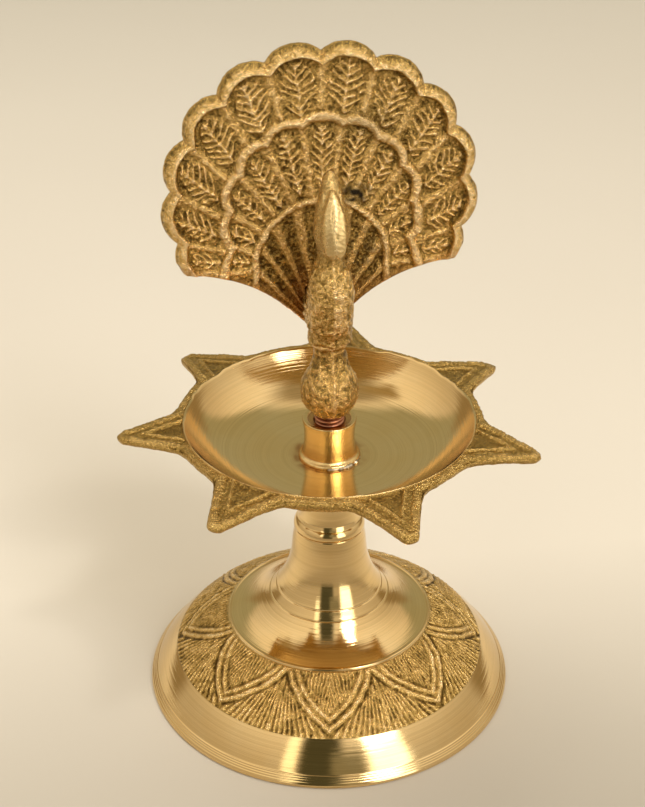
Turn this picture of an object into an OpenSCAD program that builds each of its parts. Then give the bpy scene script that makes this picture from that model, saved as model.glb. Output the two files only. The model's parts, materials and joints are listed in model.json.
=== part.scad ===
// Standing brass oil lamp: a domed foot, a seven-pointed oil dish and a peacock finial, screwed together.
// +Z is up, the foot rests on z = 0, and the peacock faces -Y.

/* [Foot] */
// Radius of the rim that the lamp stands on
foot_r = 50; // [49:0.5:51]
// Thickness of the cast wall of the foot
wall_t = 2.6; // [2:0.1:3]
// Height of the neck's top face, where the dish seats
seat_z = 60; // [59:0.5:61]
// Number of leaves embossed around the foot
leaf_count = 8; // [6:1:10]
// Turn of the leaves about the lamp's axis
leaf_turn = -9; // [-22:1:22]
// Height of the leaves' raised outlines
leaf_relief = 0.6; // [0.4:0.1:0.8]

/* [Dish] */
// Number of points on the dish's rim
point_count = 7; // [5:1:8]
// Radius of the points' tips
tip_r = 55; // [53:0.5:57]
// Half of the angle at a point's tip
flank_angle = 25.5; // [24:0.5:27]
// Radius of the turned edge of the dish
dish_r = 37.8; // [37:0.1:38]
// Height of the dish's floor at its centre
floor_z = 70.9; // [70:0.1:72]
// Height of the rim's top face
rim_z = 82.6; // [82:0.1:84]
// Thickness of the rim
rim_t = 2.2; // [1.8:0.1:2.6]

/* [Studs] */
// Nominal diameter of the screw studs
stud_d = 8; // [7:0.5:8]
// Running clearance between a stud and its hole, on the radius
stud_gap = 0.05; // [0.02:0.01:0.1]
// Height of the collar that the finial screws into
collar_h = 11.4; // [10.6:0.2:12]
// Bare stud left between the collar and the bulb
stud_show = 1.3; // [1:0.1:2]

/* [Peacock] */
// Radius of the round bulb under the bird
bulb_r = 7.45; // [7.2:0.05:7.8]
// Half width of the bird's breast
breast_r = 5.6; // [5.4:0.1:6]

/* [Tail fan] */
// Number of whole lobes around the fan
lobe_count = 10; // [8:2:10]
// Angle that one lobe spans
lobe_pitch = 21.2; // [19:0.1:22]
// Radius of the notches between the lobes
notch_r = 37.4; // [37:0.1:38]
// Rise of a lobe above its notches
lobe_rise = 2.6; // [2:0.1:3]
// Height of the fan's centre
fan_z = 138.3; // [137:0.1:140]
// Distance of the fan's back face behind the axis
fan_back = 14.8; // [14:0.1:16]
// Thickness of the fan's web
web_t = 2; // [1.6:0.1:2.4]
// Height of the fan's ridges above its web
ridge_h = 1.4; // [1:0.1:1.8]

/* [Hidden] */
$fn = 96;
cut = 1;

brass = "#c79b4b";
cast_brass = "#a9863f";
copper_brown = "#8a4b32";

// Foot: the dome is one arc and the bell above it another, hollow side out
rim_w = 4;
crease = [foot_r - 1.8, 3.1];
band_out = [foot_r - 7.6, 10.4];
band_in = [27.9, 20.6];
dome_c = [8.33, -22.62];
dome_r = norm(band_in - dome_c);
bell_c = [34.6, 44.2];
bell_r = norm(band_in - bell_c);
bell_end = 174;
bell_top = bell_c + bell_r * [cos(bell_end), sin(bell_end)];
dome_under = [31, 63];
bell_under = [250, 197];
crown_z = 38;
shoulder = [9.4, 48.7];
shoulder_r = 2.9;
neck_r = 7.7;

// Leaves
band_span = [43.2, 65];
leaf_root = band_in[0] - 1;
leaf_tip = band_out[0] - 0.4;
outline_w = 1.1;
inner_inset = 3.6;
leaf_power = 1.35;

// Studs and holes
hole_r = stud_d / 2;
stud_r = hole_r - stud_gap;
hole_deep = 11.6;
end_gap = 0.3;
chamfer = 0.8;

// Dish
dish_flat_r = 8.6;
dish_power = 3.5;
dish_under = [[9.6, 0], [11, 1], [20, 6.7], [27, 10.9], [33.8, 15.6]];
flange_r = 39.6;
flange_drop = 0.3;
nose_r = 2.4;
root_r = 38;
border_w = 2.1;
rib_inset = 3.6;
rib_w = 1;
rib_h = 0.7;

// Collar
collar_top = floor_z + collar_h;
foot_flange = [8, 0.9];
lip_r = 7;
waist_arc_r = 22.7;
cup_r = 5.6;
cup_deep = 0.5;

// Bird
bulb_z = collar_top + stud_show + bulb_r - 0.1;
socket_top = bulb_z + 3.4;
waist_r = 4.05;
hem_z = 104.5;
shaft = [[6.4, 3], [5, 6.6], [4.2, 9]];
back_z = 111;
web_front = fan_back - web_t;
rivet_z = 110.5;
rivet_r = 1.8;
rivet_gap = 0.02;
rivet_deep = 6;
rivet_head = [4, 1.6];

// Rings of the bird's skin: [offset, height, half width, half depth, lean]
upright_rings = [
    [0, hem_z - 1.5, 3.9, 3.9, 0], [-0.2, hem_z + 0.5, 5.2, 5.2, 0], [-0.8, 108, 5.4, 5.6, 0],
    [-1.4, 113, breast_r - 0.1, 6, 0], [-1.9, 118, breast_r, 5.9, 8], [-2, 122, 4.9, 5, 12],
    [-1.7, 125.5, 3.8, 3.9, 8], [-1.5, 128.5, 3.3, 3.5, 0], [-2.6, 131.5, 3.6, 4.3, -8],
    [-3.3, 134.5, 4.3, 5.1, -12], [-3.2, 137.5, 4.5, 5.2, -10], [-2.4, 140.5, 4.1, 4.7, -8],
    [-1.3, 144, 3, 3.2, -6], [-0.2, 147.5, 2, 2, -4], [0.5, 150, 0.9, 0.9, 0]];
trunk_rings = [
    [back_z + 1, -3, 4, 5, 0], [back_z + 0.8, 0, 5.1, 6.8, 0], [back_z + 0.4, 4, 5.2, 6.9, 0],
    [back_z - 0.2, 8, 4.9, 6.2, 0], [rivet_z, web_front, 4.6, 5.4, 0]];

// Tail fan, drawn about the centre of its lobes
fan_corner = [36.2, -18.7];
fan_bow = [18, -19.5];
fan_root = [4.6, -34.4];
rim_ridge_w = 3;
room_r = 6.4;
ridge_span = 250;
ridge_drop = 20;
// Each ridge: [height over the fan's centre, radius, width, rise of its lobes, number of lobes]
ridges = [[-2.8, 25, 2, 1.6, 9], [-17.3, 18, 1.8, 0.6, 12]];

function reverse(list) = [for (i = [len(list) - 1:-1:0]) list[i]];

function polar(r, a) = r * [cos(a), sin(a)];

function arc(c, r, from, to, n = 8) = [for (i = [0:n]) c + polar(r, from + (to - from) * i / n)];

function angle_of(c, p) = atan2(p[1] - c[1], p[0] - c[0]);

// The shorter way round c, from p towards q
function arc_between(c, p, q, n = 8) =
    let(from = angle_of(c, p), turn = angle_of(c, q) - from)
    arc(c, norm(p - c), from, from + turn - 360 * round(turn / 360), n);

function bezier(a, b, c, t) = (1 - t) * (1 - t) * a + 2 * t * (1 - t) * b + t * t * c;

module turned(profile) {
    rotate_extrude() polygon(profile);
}

// ---------------------------------------------------------------- foot

function foot_outside() = concat(
    [[foot_r - rim_w, 0], [foot_r, 0], crease],
    arc_between(dome_c, crease, band_out, 5),
    arc_between(dome_c, band_out, band_in),
    [band_in + [-0.5, 0.9]],
    arc_between(bell_c, band_in + [-1.2, 0.5], bell_top, 16),
    [shoulder],
    arc(shoulder + [-shoulder_r, 0.8], shoulder_r, 0, 50, 6),
    [[neck_r, shoulder[1] + 5.8], [neck_r, seat_z]]);

// The underside keeps one wall thickness below the dome and the bell
function foot_inside() = concat(
    [[foot_r - rim_w, 0]],
    arc(dome_c, dome_r - wall_t, dome_under[0], dome_under[1]),
    arc(bell_c, bell_r + wall_t, bell_under[0], bell_under[1]));

module base() {
    color(brass) difference() {
        union() {
            turned(concat(foot_outside(), [[0, seat_z], [0, crown_z]], reverse(foot_inside())));
            for (k = [0:leaf_count - 1]) rotate(leaf_turn + 360 * k / leaf_count) leaf();
        }
        translate([0, 0, seat_z - hole_deep]) cylinder(r = hole_r, h = hole_deep + cut);
    }
}

// One embossed leaf: two nested outlines cut from a thin shell over the dome
module leaf() {
    intersection() {
        turned(concat(arc(dome_c, dome_r - cut, band_span[0], band_span[1], 4),
                      arc(dome_c, dome_r + leaf_relief, band_span[1], band_span[0], 4)));
        linear_extrude(2 * band_in[1]) {
            leaf_ring(0);
            leaf_ring(inner_inset);
        }
    }
}

module leaf_ring(inset) {
    difference() {
        polygon(leaf_outline(inset));
        polygon(leaf_outline(inset + outline_w));
    }
}

// The leaf's flanks bow outwards from its root at the bell to its tip at the dome's edge
function leaf_outline(inset) =
    let(tip = leaf_tip - 1.3 * inset,
        half = leaf_root * sin(180 / leaf_count) - inset,
        side = [for (i = [0:8]) let(t = i / 8)
            [leaf_root + (tip - leaf_root) * t, half * (1 - pow(t, leaf_power))]])
    [for (p = concat([for (q = side) [q[0], -q[1]]], reverse(side))) [p[1], -p[0]]];

// ---------------------------------------------------------------- screw studs

module stud(bottom, top) {
    translate([0, 0, bottom]) turned([[0, 0], [stud_r - chamfer, 0], [stud_r, chamfer],
        [stud_r, top - bottom - chamfer], [stud_r - chamfer, top - bottom], [0, top - bottom]]);
}

module stem_stud() {
    color(cast_brass) stud(seat_z - hole_deep + 2 * end_gap, floor_z - end_gap);
}

module finial_stud() {
    color(copper_brown) stud(floor_z + end_gap, socket_top - end_gap);
}

// ---------------------------------------------------------------- dish

// The floor is flat under the collar, then rises as a power of the radius
function dish_height(r) =
    floor_z + (rim_z - floor_z) * pow(max(0, r - dish_flat_r) / (dish_r - dish_flat_r), dish_power);

function dish_inside() =
    [for (i = [0:14]) let(r = dish_flat_r + (dish_r - dish_flat_r) * i / 14) [r, dish_height(r)]];

function dish_outside() = concat([for (p = dish_under) [p[0], seat_z + p[1]]],
    [[flange_r - 0.6, rim_z - rim_t + 0.2], [flange_r, rim_z - rim_t + 0.4]]);

// One point of the rim, lying along +X, with its edges moved in by inset
function point_outline(inset) =
    let(nose = max(nose_r - inset, 0.1),
        tip_x = tip_r - nose_r - max(0, inset - nose_r + 0.1) / sin(flank_angle),
        half = nose / cos(flank_angle) + (tip_x - root_r) * tan(flank_angle))
    concat([[root_r, -half]], arc([tip_x, 0], nose, flank_angle - 90, 90 - flank_angle), [[root_r, half]]);

module point_ring(inset, width) {
    difference() {
        polygon(point_outline(inset));
        polygon(point_outline(inset + width));
    }
}

module rim_point() {
    translate([0, 0, rim_z - rim_t]) {
        linear_extrude(rim_t - rib_h) polygon(point_outline(0));
        linear_extrude(rim_t) {
            point_ring(0, border_w);
            point_ring(rib_inset, rib_w);
        }
    }
}

module bowl() {
    flange_top = rim_z - flange_drop;
    color(brass) difference() {
        union() {
            turned(concat([[0, seat_z]], dish_outside(), [[flange_r, flange_top], [0, flange_top]]));
            for (k = [0:point_count - 1]) rotate(180 + 360 * k / point_count) rim_point();
        }
        turned(concat([[0, floor_z]], dish_inside(), [[dish_r + 0.1, rim_z + cut], [0, rim_z + cut]]));
        translate([0, 0, seat_z - cut]) cylinder(r = hole_r, h = floor_z - seat_z + 2 * cut);
    }
}

// Turned collar with a waist and a shallow cup in its top
module boss_collar() {
    color(brass) difference() {
        turned(concat([[0, floor_z], [foot_flange[0], floor_z], [foot_flange[0], floor_z + foot_flange[1]]],
                      arc([lip_r + waist_arc_r - 0.3, floor_z + collar_h / 2 + 0.3], waist_arc_r, 191, 166),
                      [[lip_r, collar_top - 0.3], [lip_r - 0.4, collar_top], [0, collar_top]]));
        translate([0, 0, floor_z - cut]) cylinder(r = hole_r, h = collar_h + 2 * cut);
        translate([0, 0, collar_top - cup_deep]) cylinder(r = cup_r, h = cut);
    }
}

// ---------------------------------------------------------------- peacock

// Elliptical rings joined into one closed skin
module loft(rings, sides = 28) {
    last = len(rings) - 1;
    points = [for (g = rings, i = [0:sides - 1]) let(a = 360 * i / sides)
        [g[2] * cos(a), g[0] + g[3] * sin(a) * cos(g[4]), g[1] + g[3] * sin(a) * sin(g[4])]];
    skin = [for (k = [0:last - 1], i = [0:sides - 1]) let(j = (i + 1) % sides)
        [k * sides + i, (k + 1) * sides + i, (k + 1) * sides + j, k * sides + j]];
    caps = [[for (i = [0:sides - 1]) i], [for (i = [sides - 1:-1:0]) last * sides + i]];
    polyhedron(points, concat(skin, caps), convexity = 4);
}

// Breast, neck, head and crest, from the hem of the breast upwards
module upright() {
    loft(upright_rings);
}

// The bird's back, running level from the breast to the fan
module trunk() {
    rotate([90, 0, 0]) mirror([0, 0, 1]) loft(trunk_rings);
}

// The shaft under the bird, narrow at the waist
module baluster() {
    turned(concat([[0, bulb_z]], [for (p = shaft) [p[0], bulb_z + p[1]]],
                  [[waist_r, hem_z - 6], [waist_r + 0.3, hem_z], [0, hem_z]]));
}

module peacock_body() {
    color(cast_brass) difference() {
        union() {
            translate([0, 0, bulb_z]) sphere(bulb_r);
            baluster();
            upright();
            trunk();
        }
        translate([0, 0, bulb_z - bulb_r - cut]) cylinder(r = hole_r, h = socket_top - bulb_z + bulb_r + cut);
        from_rivet() cylinder(r = rivet_r + rivet_gap, h = 3 * rivet_deep);
    }
}

// Puts its children at the rivet's inner end, pointing backwards
module from_rivet() {
    translate([0, web_front - rivet_deep, rivet_z]) rotate([-90, 0, 0]) children();
}

module tail_rivet() {
    shank = rivet_deep + web_t;
    color(copper_brown) from_rivet()
        turned(concat([[0, 0], [rivet_r, 0], [rivet_r, shank]],
                      arc([0, shank - rivet_head[1]], rivet_head[0], 24, 90)));
}

// ---------------------------------------------------------------- tail fan

// Distance of a lobed edge from its centre, at an angle from a lobe's middle: each lobe is one arc
function lobe_reach(r, rise, pitch, off) =
    let(sag = r + rise - r * cos(pitch / 2),
        chord = r * sin(pitch / 2),
        rho = (chord * chord + sag * sag) / (2 * sag),
        c = r + rise - rho)
    c * cos(off) + sqrt(rho * rho - pow(c * sin(off), 2));

// Points along a lobed edge, from left to right over the top
function lobes(count, pitch, r, rise, n = 8) =
    [for (k = [0:count - 1], i = [0:n]) if (i < n || k == count - 1)
        let(off = pitch * (0.5 - i / n))
        polar(lobe_reach(r, rise, pitch, off), 90 + pitch * (count / 2 - k - 0.5) + off)];

// The whole fan, shrunk by inset: lobes over the top, two corners, and edges that curve in to the root
function fan_outline(inset) =
    let(edge = [for (i = [0:8]) bezier(fan_corner, fan_bow, fan_root, i / 8)],
        corner = fan_corner + [1.6, 2.6])
    [for (p = concat([for (q = reverse(edge)) [-q[0], q[1]]], [[-corner[0], corner[1]]],
                     lobes(lobe_count, lobe_pitch, notch_r, lobe_rise), [corner], edge))
        p * (notch_r - inset) / notch_r + [0, inset * 0.4]];

// A lobed ridge inside the fan, centred at height z over the fan's centre
module ridge(z, r, width, rise, count) {
    pitch = ridge_span / count;
    translate([0, z]) difference() {
        polygon(concat([[-r, -ridge_drop]], lobes(count, pitch, r, rise), [[r, -ridge_drop]]));
        polygon(concat([[width - r, -ridge_drop - cut]], lobes(count, pitch, r - width, rise),
                       [[r - width, -ridge_drop - cut]]));
    }
}

module peacock_tail() {
    color(cast_brass) difference() {
        translate([0, fan_back, fan_z]) rotate([90, 0, 0]) {
            linear_extrude(web_t) polygon(fan_outline(0));
            linear_extrude(web_t + ridge_h) {
                difference() {
                    polygon(fan_outline(0));
                    polygon(fan_outline(rim_ridge_w));
                }
                intersection() {
                    polygon(fan_outline(1));
                    union() {
                        for (g = ridges) ridge(g[0], g[1], g[2], g[3], g[4]);
                    }
                }
            }
        }
        from_rivet() cylinder(r = rivet_r + rivet_gap, h = 3 * rivet_deep);
        trunk_room();
    }
}

// Room in the ridges for the end of the bird's back
module trunk_room() {
    translate([0, web_front - 2 * ridge_h, rivet_z]) rotate([-90, 0, 0])
        cylinder(r = room_r, h = 2 * ridge_h);
}

base();
stem_stud();
bowl();
boss_collar();
finial_stud();
peacock_body();
peacock_tail();
tail_rivet();
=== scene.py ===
"""Standing brass lamp with a peacock finial: the looks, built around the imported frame.

Shapes are worked out in millimetres with numpy and turned into meshes in metres at the end.
The bird faces -Y, the lamp's axis is Z and the foot rests on z = 0.
"""

import json
import math

import bpy
import numpy as np
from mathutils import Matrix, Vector


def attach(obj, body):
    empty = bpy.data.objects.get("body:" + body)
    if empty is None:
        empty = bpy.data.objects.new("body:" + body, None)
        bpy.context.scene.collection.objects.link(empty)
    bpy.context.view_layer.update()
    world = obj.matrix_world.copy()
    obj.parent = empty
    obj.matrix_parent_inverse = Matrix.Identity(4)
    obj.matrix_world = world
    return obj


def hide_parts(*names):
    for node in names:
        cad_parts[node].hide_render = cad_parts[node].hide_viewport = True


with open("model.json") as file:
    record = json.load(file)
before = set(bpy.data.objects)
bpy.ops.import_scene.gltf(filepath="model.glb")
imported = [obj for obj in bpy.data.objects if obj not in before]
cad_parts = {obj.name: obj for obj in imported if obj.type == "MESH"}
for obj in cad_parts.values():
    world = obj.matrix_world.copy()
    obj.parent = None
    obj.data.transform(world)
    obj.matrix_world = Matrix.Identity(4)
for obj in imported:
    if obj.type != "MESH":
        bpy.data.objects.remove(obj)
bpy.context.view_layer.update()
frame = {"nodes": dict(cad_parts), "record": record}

MM = 0.001
TAU = 2 * math.pi
# Degrees that the camera stands round from the bird's front, towards the bird's right-hand side
CAMERA_YAW = 9


# ---------------------------------------------------------------- camera


def make_camera():
    """The photograph's view, fitted to the lamp's circles: from above, a little to the bird's right."""
    yaw, pitch = math.radians(CAMERA_YAW), math.radians(30.6)
    distance, height, aside = 0.3706, 0.3055, -0.0018
    data = bpy.data.cameras.new("camera")
    data.sensor_width = 36
    data.lens = 74.49814
    camera = bpy.data.objects.new("camera", data)
    forward = Vector((math.sin(yaw), math.cos(yaw), 0))
    right = Vector((math.cos(yaw), -math.sin(yaw), 0))
    camera.location = right * aside - forward * distance + Vector((0, 0, height))
    camera.rotation_euler = (math.pi / 2 - pitch, 0, -yaw)
    bpy.context.scene.collection.objects.link(camera)
    bpy.context.scene.camera = camera


# ---------------------------------------------------------------- numbers


def smooth(low, high, x):
    """0 below low, 1 above high, and a smooth rise between them."""
    t = np.clip((x - low) / (high - low), 0, 1)
    return t * t * (3 - 2 * t)


def window(x, low, full, fall, end):
    """0 below low and above end, 1 from full to fall, and smooth between."""
    return smooth(low, full, x) * (1 - smooth(fall, end, x))


def bump(x, centre, width):
    """A rounded ridge of height 1."""
    return np.exp(-(((x - centre) / width) ** 2))


def ridges(x, *shapes):
    """Several rounded ridges, each given by its centre, width and height."""
    return sum(height * bump(x, centre, width) for centre, width, height in shapes)


def dome(x, centre, half):
    """A half-round ridge of height 1 that ends at half on either side of its centre."""
    return np.sqrt(np.clip(1 - ((x - centre) / half) ** 2, 0, 1))


def lattice(i, j, k, seed):
    """A repeatable random number from 0 to 1 for each whole-number point."""
    primes = (73856093, 19349663, 83492791, 2654435761)
    h = (i * primes[0]) ^ (j * primes[1]) ^ (k * primes[2]) ^ (seed * primes[3])
    h = (h ^ (h >> 13)) * 1274126177 & 0xFFFFFFFF
    return ((h ^ (h >> 16)) & 0xFFFF) / 65535.0


def noise(x, y, z, size, seed):
    """Smooth noise from -1 to 1, with features of about that size."""
    away_from_zero = 1000.0
    p = [np.asarray(c, float) / size + away_from_zero for c in np.broadcast_arrays(x, y, z)]
    cell = [np.floor(c).astype(np.int64) for c in p]
    f = [c - i for c, i in zip(p, cell)]
    f = [t * t * (3 - 2 * t) for t in f]
    total = 0
    for a in (0, 1):
        for b in (0, 1):
            for c in (0, 1):
                share = (
                    (f[0] if a else 1 - f[0])
                    * (f[1] if b else 1 - f[1])
                    * (f[2] if c else 1 - f[2])
                )
                total = total + share * lattice(cell[0] + a, cell[1] + b, cell[2] + c, seed)
    return 2 * total - 1


def arc(centre, radius, start, end, count):
    """Points along an arc, with angles in degrees."""
    a = np.radians(np.linspace(start, end, count))
    return np.stack([centre[0] + radius * np.cos(a), centre[1] + radius * np.sin(a)], 1)


def spaced(points, step):
    """The same line with a point about every step."""
    points = np.asarray(points, float)
    lengths = np.hypot(*np.diff(points, axis=0).T)
    along = np.concatenate([[0], np.cumsum(lengths)])
    count = max(2, int(round(along[-1] / step)) + 1)
    where = np.linspace(0, along[-1], count)
    return np.stack([np.interp(where, along, points[:, i]) for i in (0, 1)], 1)


def line_normals(points):
    """Unit normals on the left of a line of points."""
    d = np.gradient(points, axis=0)
    n = np.stack([-d[:, 1], d[:, 0]], 1)
    return n / np.maximum(np.hypot(*n.T)[:, None], 1e-9)


# ---------------------------------------------------------------- meshes


def store(mesh, values):
    """Adds named values to a mesh, one number a point for each name, for the materials to read."""
    for key, numbers in values.items():
        attribute = mesh.attributes.new(key, "FLOAT", "POINT")
        attribute.data.foreach_set("value", np.asarray(numbers, np.float32).ravel())


def mesh_object(name, points, faces, values):
    """A smooth-shaded object from points in millimetres."""
    mesh = bpy.data.meshes.new(name)
    mesh.from_pydata((np.asarray(points) * MM).tolist(), [], faces)
    mesh.validate()
    mesh.shade_smooth()
    store(mesh, values)
    obj = bpy.data.objects.new(name, mesh)
    bpy.context.scene.collection.objects.link(obj)
    return obj


def ring_faces(rows, columns, close_rows=False):
    """Quads that join rings of points, each ring closed on itself."""
    faces = []
    for r in range(rows if close_rows else rows - 1):
        a, b = r * columns, ((r + 1) % rows) * columns
        for c in range(columns):
            d = (c + 1) % columns
            faces.append((a + c, a + d, b + d, b + c))
    return faces


def capped_faces(rows, columns):
    """Quads that join rings of points, and a face over each end."""
    last = (rows - 1) * columns
    return ring_faces(rows, columns) + [tuple(range(columns))[::-1], tuple(range(last, last + columns))]


def revolve(profile, columns):
    """Angle, radius and height of a profile turned about the axis, as arrays of rows by columns."""
    angle = np.arange(columns) * TAU / columns
    r = np.repeat(profile[:, :1], columns, 1)
    z = np.repeat(profile[:, 1:], columns, 1)
    return np.repeat(angle[None], len(profile), 0), r, z


def ring_points(angle, r, z):
    return np.stack([r * np.cos(angle), r * np.sin(angle), z], -1).reshape(-1, 3)


def add_piece(obj, body, slot, material, *replaced):
    """Gives a piece its material and body, and hides the nodes that it stands in for. The slot is not
    used.
    """
    obj.data.materials.clear()
    obj.data.materials.append(material)
    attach(obj, body)
    if replaced:
        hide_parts(*replaced)
    return obj


# ---------------------------------------------------------------- materials


class Nodes:
    """Small helper that adds nodes to one tree and joins them."""

    def __init__(self, tree):
        self.tree = tree
        tree.nodes.clear()

    def node(self, kind, **settings):
        n = self.tree.nodes.new(kind)
        for key, value in settings.items():
            setattr(n, key, value)
        return n

    def join(self, a, b):
        self.tree.links.new(a, b)

    def feed(self, sockets, *values):
        """Gives each socket its value: another socket, a colour or a number."""
        for socket, value in zip(sockets, values):
            if isinstance(value, bpy.types.NodeSocket):
                self.join(value, socket)
            else:
                socket.default_value = (*value, 1) if isinstance(value, tuple) else value

    def math(self, operation, *values):
        n = self.node("ShaderNodeMath", operation=operation)
        self.feed(n.inputs, *values)
        return n.outputs[0]

    def add(self, a, b):
        return self.math("ADD", a, b)

    def times(self, a, b):
        return self.math("MULTIPLY", a, b)

    def about_zero(self, share, amount):
        """A share from 0 to 1, moved to lie about 0 and made that many times larger."""
        return self.times(self.math("SUBTRACT", share, 0.5), amount)

    def mix(self, fac, a, b):
        n = self.node("ShaderNodeMix", data_type="RGBA")
        self.feed((n.inputs[0], n.inputs[6], n.inputs[7]), fac, a, b)
        return n.outputs[2]

    def range(self, fac, low, high, to_low, to_high, kind="LINEAR"):
        """to_low at low, to_high at high, and held there beyond them."""
        n = self.node("ShaderNodeMapRange", interpolation_type=kind)
        self.feed(n.inputs, fac, low, high, to_low, to_high)
        return n.outputs[0]

    def split(self, vector):
        n = self.node("ShaderNodeSeparateXYZ")
        self.join(vector, n.inputs[0])
        return n.outputs


class Shader(Nodes):
    """The nodes of one material, which is metal to begin with."""

    def __init__(self, name):
        self.material = bpy.data.materials.new(name)
        self.material.use_nodes = True
        super().__init__(self.material.node_tree)
        self.main = self.node("ShaderNodeBsdfPrincipled")
        self.join(self.main.outputs["BSDF"], self.node("ShaderNodeOutputMaterial").inputs["Surface"])
        self.main.inputs["Metallic"].default_value = 1.0

    def place(self):
        return self.node("ShaderNodeTexCoord").outputs["Object"]

    def value(self, name):
        return self.node("ShaderNodeAttribute", attribute_name=name).outputs["Fac"]

    def noise(self, scale, detail=3.0, rough=0.5, vector=None):
        """A share from 0 to 1 that varies about scale times a metre."""
        n = self.node("ShaderNodeTexNoise")
        self.join(vector or self.place(), n.inputs["Vector"])
        n.inputs["Scale"].default_value = scale
        n.inputs["Detail"].default_value = detail
        n.inputs["Roughness"].default_value = rough
        return n.outputs["Fac"]

    def ramp(self, fac, *stops):
        n = self.node("ShaderNodeValToRGB")
        self.join(fac, n.inputs[0])
        elements = n.color_ramp.elements
        while len(elements) < len(stops):
            elements.new(0.5)
        for element, (position, colour) in zip(elements, stops):
            element.position = position
            element.color = (*colour, 1)
        return n.outputs["Color"]

    def bumps(self, height, distance, strength=1.0, onto=None):
        """Fine grain, distance in metres, laid over the normal of an earlier one where there is one."""
        n = self.node("ShaderNodeBump")
        n.inputs["Strength"].default_value = strength
        n.inputs["Distance"].default_value = distance
        self.join(height, n.inputs["Height"])
        if onto is not None:
            self.join(onto, n.inputs["Normal"])
        return n.outputs["Normal"]

    def round_axis(self):
        """Radius from the lamp's axis and height, as one vector that turning marks follow."""
        x, y, z = self.split(self.place())
        joined = self.node("ShaderNodeCombineXYZ")
        self.join(self.math("SQRT", self.add(self.times(x, x), self.times(y, y))), joined.inputs[0])
        self.join(z, joined.inputs[2])
        return joined.outputs[0]

    def surface(self, colour, rough, normal):
        """Joins the last nodes to the surface and gives the material."""
        self.join(colour, self.main.inputs["Base Color"])
        self.join(rough, self.main.inputs["Roughness"])
        self.join(normal, self.main.inputs["Normal"])
        return self.material


BRIGHT = (0.80, 0.565, 0.26)
PALE = (0.84, 0.65, 0.36)
DULL = (0.50, 0.36, 0.14)
SOOT = (0.035, 0.028, 0.018)
RUST = (0.40, 0.17, 0.045)
# Tones of the rough castings, from their hollows to their high places: partly patina and wear, partly
# painted shade in the hollows and painted highlight on the high places
CAST_TONES = (
    (0.0, (0.13, 0.075, 0.018)),
    (0.28, (0.50, 0.32, 0.09)),
    (0.6, (0.84, 0.57, 0.215)),
    (0.95, (1.0, 0.76, 0.42)),
)
# Tones of the copper-red thread, from its roots to its crests
COPPER_TONES = ((0.15, (0.09, 0.03, 0.015)), (0.5, (0.40, 0.15, 0.08)), (0.9, (0.68, 0.34, 0.2)))


def turned_and_cast_brass(name):
    """Brass that is turned bright where the value "cast" is 0 and left as cast where it is 1."""
    s = Shader(name)
    cast, high, stain = s.value("cast"), s.value("high"), s.value("stain")
    turned = s.math("SUBTRACT", 1.0, cast)
    marks = s.noise(5200, 2, 0.6, s.round_axis())
    broad = s.noise(1100, 2, 0.5, s.round_axis())
    cloud = s.noise(55, 4, 0.6)
    grain = s.noise(1700, 4, 0.65)
    bright = s.mix(s.range(cloud, 0.35, 0.7, 0, 0.6), BRIGHT, PALE)
    bright = s.mix(s.range(marks, 0.2, 0.55, 0.4, 0), bright, DULL)
    bright = s.mix(s.range(broad, 0.3, 0.5, 0.2, 0), bright, DULL)
    bright = s.mix(stain, bright, RUST)
    # The cast parts: high places painted brighter and hollows darker, partly wear and patina, partly
    # painted highlight and shade
    rough_colour = s.ramp(s.add(high, s.about_zero(grain, 0.9)), *CAST_TONES)
    turned_rough = s.range(s.add(cloud, s.times(broad, 0.5)), 0.5, 1.1, 0.05, 0.13)
    cast_rough = s.range(s.add(high, grain), 0.4, 1.5, 0.36, 0.13)
    rough = s.add(s.times(turned_rough, turned), s.times(cast_rough, cast))
    fine = s.bumps(s.times(marks, turned), 0.00003, 0.5)
    rings = s.bumps(s.times(broad, turned), 0.00006, 0.6, fine)
    sandy = s.bumps(s.times(grain, cast), 0.0005, 1.0, rings)
    return s.surface(s.mix(cast, bright, rough_colour), rough, sandy)


def cast_brass(name):
    """Sand-cast brass: grainy, bright on the high places and brown in the hollows, partly from wear and
    patina and partly as painted highlight and shade, with soot and rust.
    """
    s = Shader(name)
    high, soot, rust, pale = (s.value(key) for key in ("high", "soot", "rust", "pale"))
    grain = s.noise(1900, 4, 0.7)
    coarse = s.noise(520, 3, 0.6)
    cloud = s.noise(70, 3, 0.6)
    even = s.math("SUBTRACT", 1.0, s.times(pale, 0.7))
    tone = s.add(high, s.times(s.about_zero(grain, 1.3), even))
    tone = s.add(tone, s.about_zero(cloud, 0.3))
    colour = s.ramp(tone, *CAST_TONES)
    colour = s.mix(s.times(pale, 0.5), colour, PALE)
    colour = s.mix(s.times(rust, 0.75), colour, RUST)
    colour = s.mix(soot, colour, SOOT)
    rough = s.range(s.add(tone, coarse), 0.4, 1.5, 0.30, 0.10)
    rough = s.add(s.add(rough, s.times(pale, 0.12)), s.times(soot, 0.25))
    first = s.bumps(s.times(coarse, even), 0.00045)
    return s.surface(colour, rough, s.bumps(s.times(grain, even), 0.00042, 1.0, first))


def copper_thread(name):
    """Reddish screw thread, bright on its crests and dark in its roots."""
    s = Shader(name)
    tone = s.add(s.value("high"), s.about_zero(s.noise(900, 4, 0.6), 0.6))
    rough = s.range(tone, 0.2, 0.9, 0.55, 0.3)
    return s.surface(s.ramp(tone, *COPPER_TONES), rough, s.bumps(s.noise(2500), 0.0001, 0.6))


def plain_metal(name, colour, dark, rough):
    """One metal with a fine dull mottle."""
    s = Shader(name)
    tone = s.noise(600, 4, 0.6)
    mottled = s.mix(s.range(tone, 0.35, 0.65, 0, 1), colour, dark)
    uneven = s.range(tone, 0.3, 0.7, rough, rough + 0.2)
    return s.surface(mottled, uneven, s.bumps(s.noise(2500), 0.0001, 0.6))


# ---------------------------------------------------------------- foot

FOOT_R = 50.0
WALL = 2.6
CREASE = np.array([48.2, 3.1])
DOME_C = np.array([8.33, -22.62])
DOME_R = 47.44
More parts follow.
